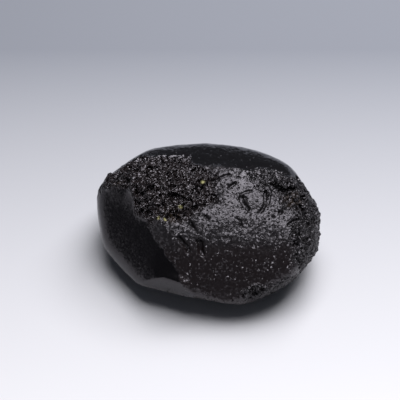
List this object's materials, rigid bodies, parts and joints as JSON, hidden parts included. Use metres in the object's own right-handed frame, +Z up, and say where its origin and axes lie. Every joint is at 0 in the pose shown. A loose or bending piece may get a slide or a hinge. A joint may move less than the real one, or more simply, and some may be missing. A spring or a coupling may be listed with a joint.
{
  "type": "tektite",
  "caption": "Loose natural black glass stone, a flattened egg with a smooth flank, a sloping front, rough crust, grooves and pits. Rests on a small flat.",
  "frame": {"origin": "middle of the stone's outline seen from above, on the surface that it rests on", "axes": "+X along the stone's length towards the pitted end, +Z up, -Y towards the sloping front"},
  "size_m": [0.043, 0.0334, 0.0205],
  "materials": {
    "black_glass": "natural black glass, opaque at this thickness, satin to frosted"
  },
  "bodies": {
    "root": {"tektite": "black_glass"}
  },
  "joints": []
}
